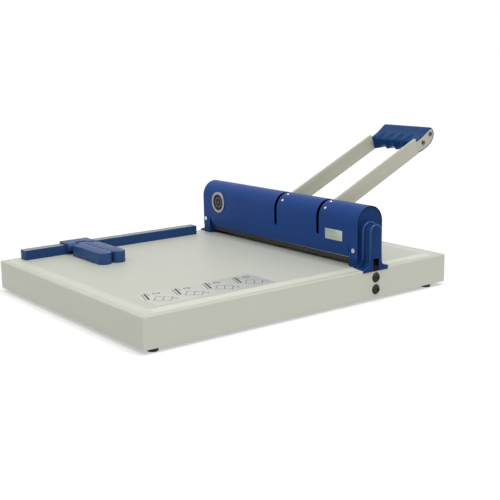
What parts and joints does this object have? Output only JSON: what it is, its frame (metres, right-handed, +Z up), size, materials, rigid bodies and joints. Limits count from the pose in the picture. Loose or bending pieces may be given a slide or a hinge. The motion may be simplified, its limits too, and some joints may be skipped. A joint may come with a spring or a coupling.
{
  "type": "manual paper creasing press",
  "caption": "Bench-top hand press that creases paper and card: sheet steel table with a side fence and flip stop, a covered press beam and a two-armed lever.",
  "frame": {"origin": "on the floor under the middle of the machine's overall box, with the lever laid back at rest", "axes": "+X to the operator's right, +Y away from the operator towards the lever's grip, +Z up"},
  "size_m": [0.4232, 0.6192, 0.2298],
  "materials": {
    "cream_paint": "satin powder coat",
    "blue_paint": "semi-gloss enamel",
    "blue_plastic": "semi-gloss moulding",
    "dark_steel": "dark oiled",
    "ground_steel": "ground",
    "spring_steel": "drawn wire",
    "zinc_steel": "zinc plated",
    "black_steel": "black oxide",
    "bronze": "sintered",
    "nylon": "natural",
    "badge_silver": "satin anodised",
    "badge_black": "gloss",
    "label_film": "matt film",
    "scale_film": "matt film",
    "foot_rubber": "matt"
  },
  "bodies": {
    "base": {"base_case": "cream_paint", "table_plate": "cream_paint", "bed_beam": "dark_steel", "matrix_bar": "ground_steel", "bed_screws": "black_steel", "rubber_feet": "foot_rubber", "foot_screws": "zinc_steel", "left_bracket": "blue_paint", "right_bracket": "blue_paint", "bracket_bolts": "black_steel", "shaft_bushes": "bronze", "housing_cover": "blue_paint", "cover_screws": "zinc_steel", "slot_guides": "nylon", "slot_rivets": "zinc_steel", "badge_ring": "badge_silver", "badge_face": "badge_black", "blank_plate": "badge_silver", "instruction_label": "label_film", "fence_rail": "blue_paint", "fence_scale": "scale_film", "fence_screws": "zinc_steel", "return_springs": "spring_steel"},
    "handle": {"drive_shaft": "ground_steel", "press_cams": "ground_steel", "arm_hubs": "ground_steel", "set_screws": "black_steel", "left_arm": "cream_paint", "right_arm": "cream_paint", "hand_grip": "blue_plastic", "grip_screws": "zinc_steel"},
    "beam": {"press_beam": "dark_steel", "tappet_blocks": "bronze", "tappet_screws": "black_steel", "creasing_rule": "ground_steel", "rule_screws": "black_steel"},
    "stop_slider": {"stop_carriage": "blue_plastic", "stop_pin": "ground_steel", "stop_friction_pad": "nylon", "stop_pressure_screw": "black_steel"},
    "stop_flap": {"stop_arm": "blue_plastic"}
  },
  "joints": [
    {"name": "lever_hinge", "type": "hinge", "parent": "base", "child": "handle", "pos_m": [0, 0.08292, 0.116], "axis": [1, 0, 0], "range_deg": [0, 160]},
    {"name": "beam_slide", "type": "slide", "parent": "base", "child": "beam", "axis": [0, 0, -1], "range_m": [0, 0.0048], "deforming": ["return_springs"]},
    {"name": "stop_slide", "type": "slide", "parent": "base", "child": "stop_slider", "axis": [0, 1, 0], "range_m": [-0.065, 0.195]},
    {"name": "stop_flip", "type": "hinge", "parent": "stop_slider", "child": "stop_flap", "pos_m": [-0.1695, -0.19008, 0.0605], "axis": [0, -1, 0], "range_deg": [0, 100]}
  ],
  "couplings": [
    {"joint": "beam_slide", "follows": "lever_hinge", "m_per_rad": 0.0017189}
  ]
}
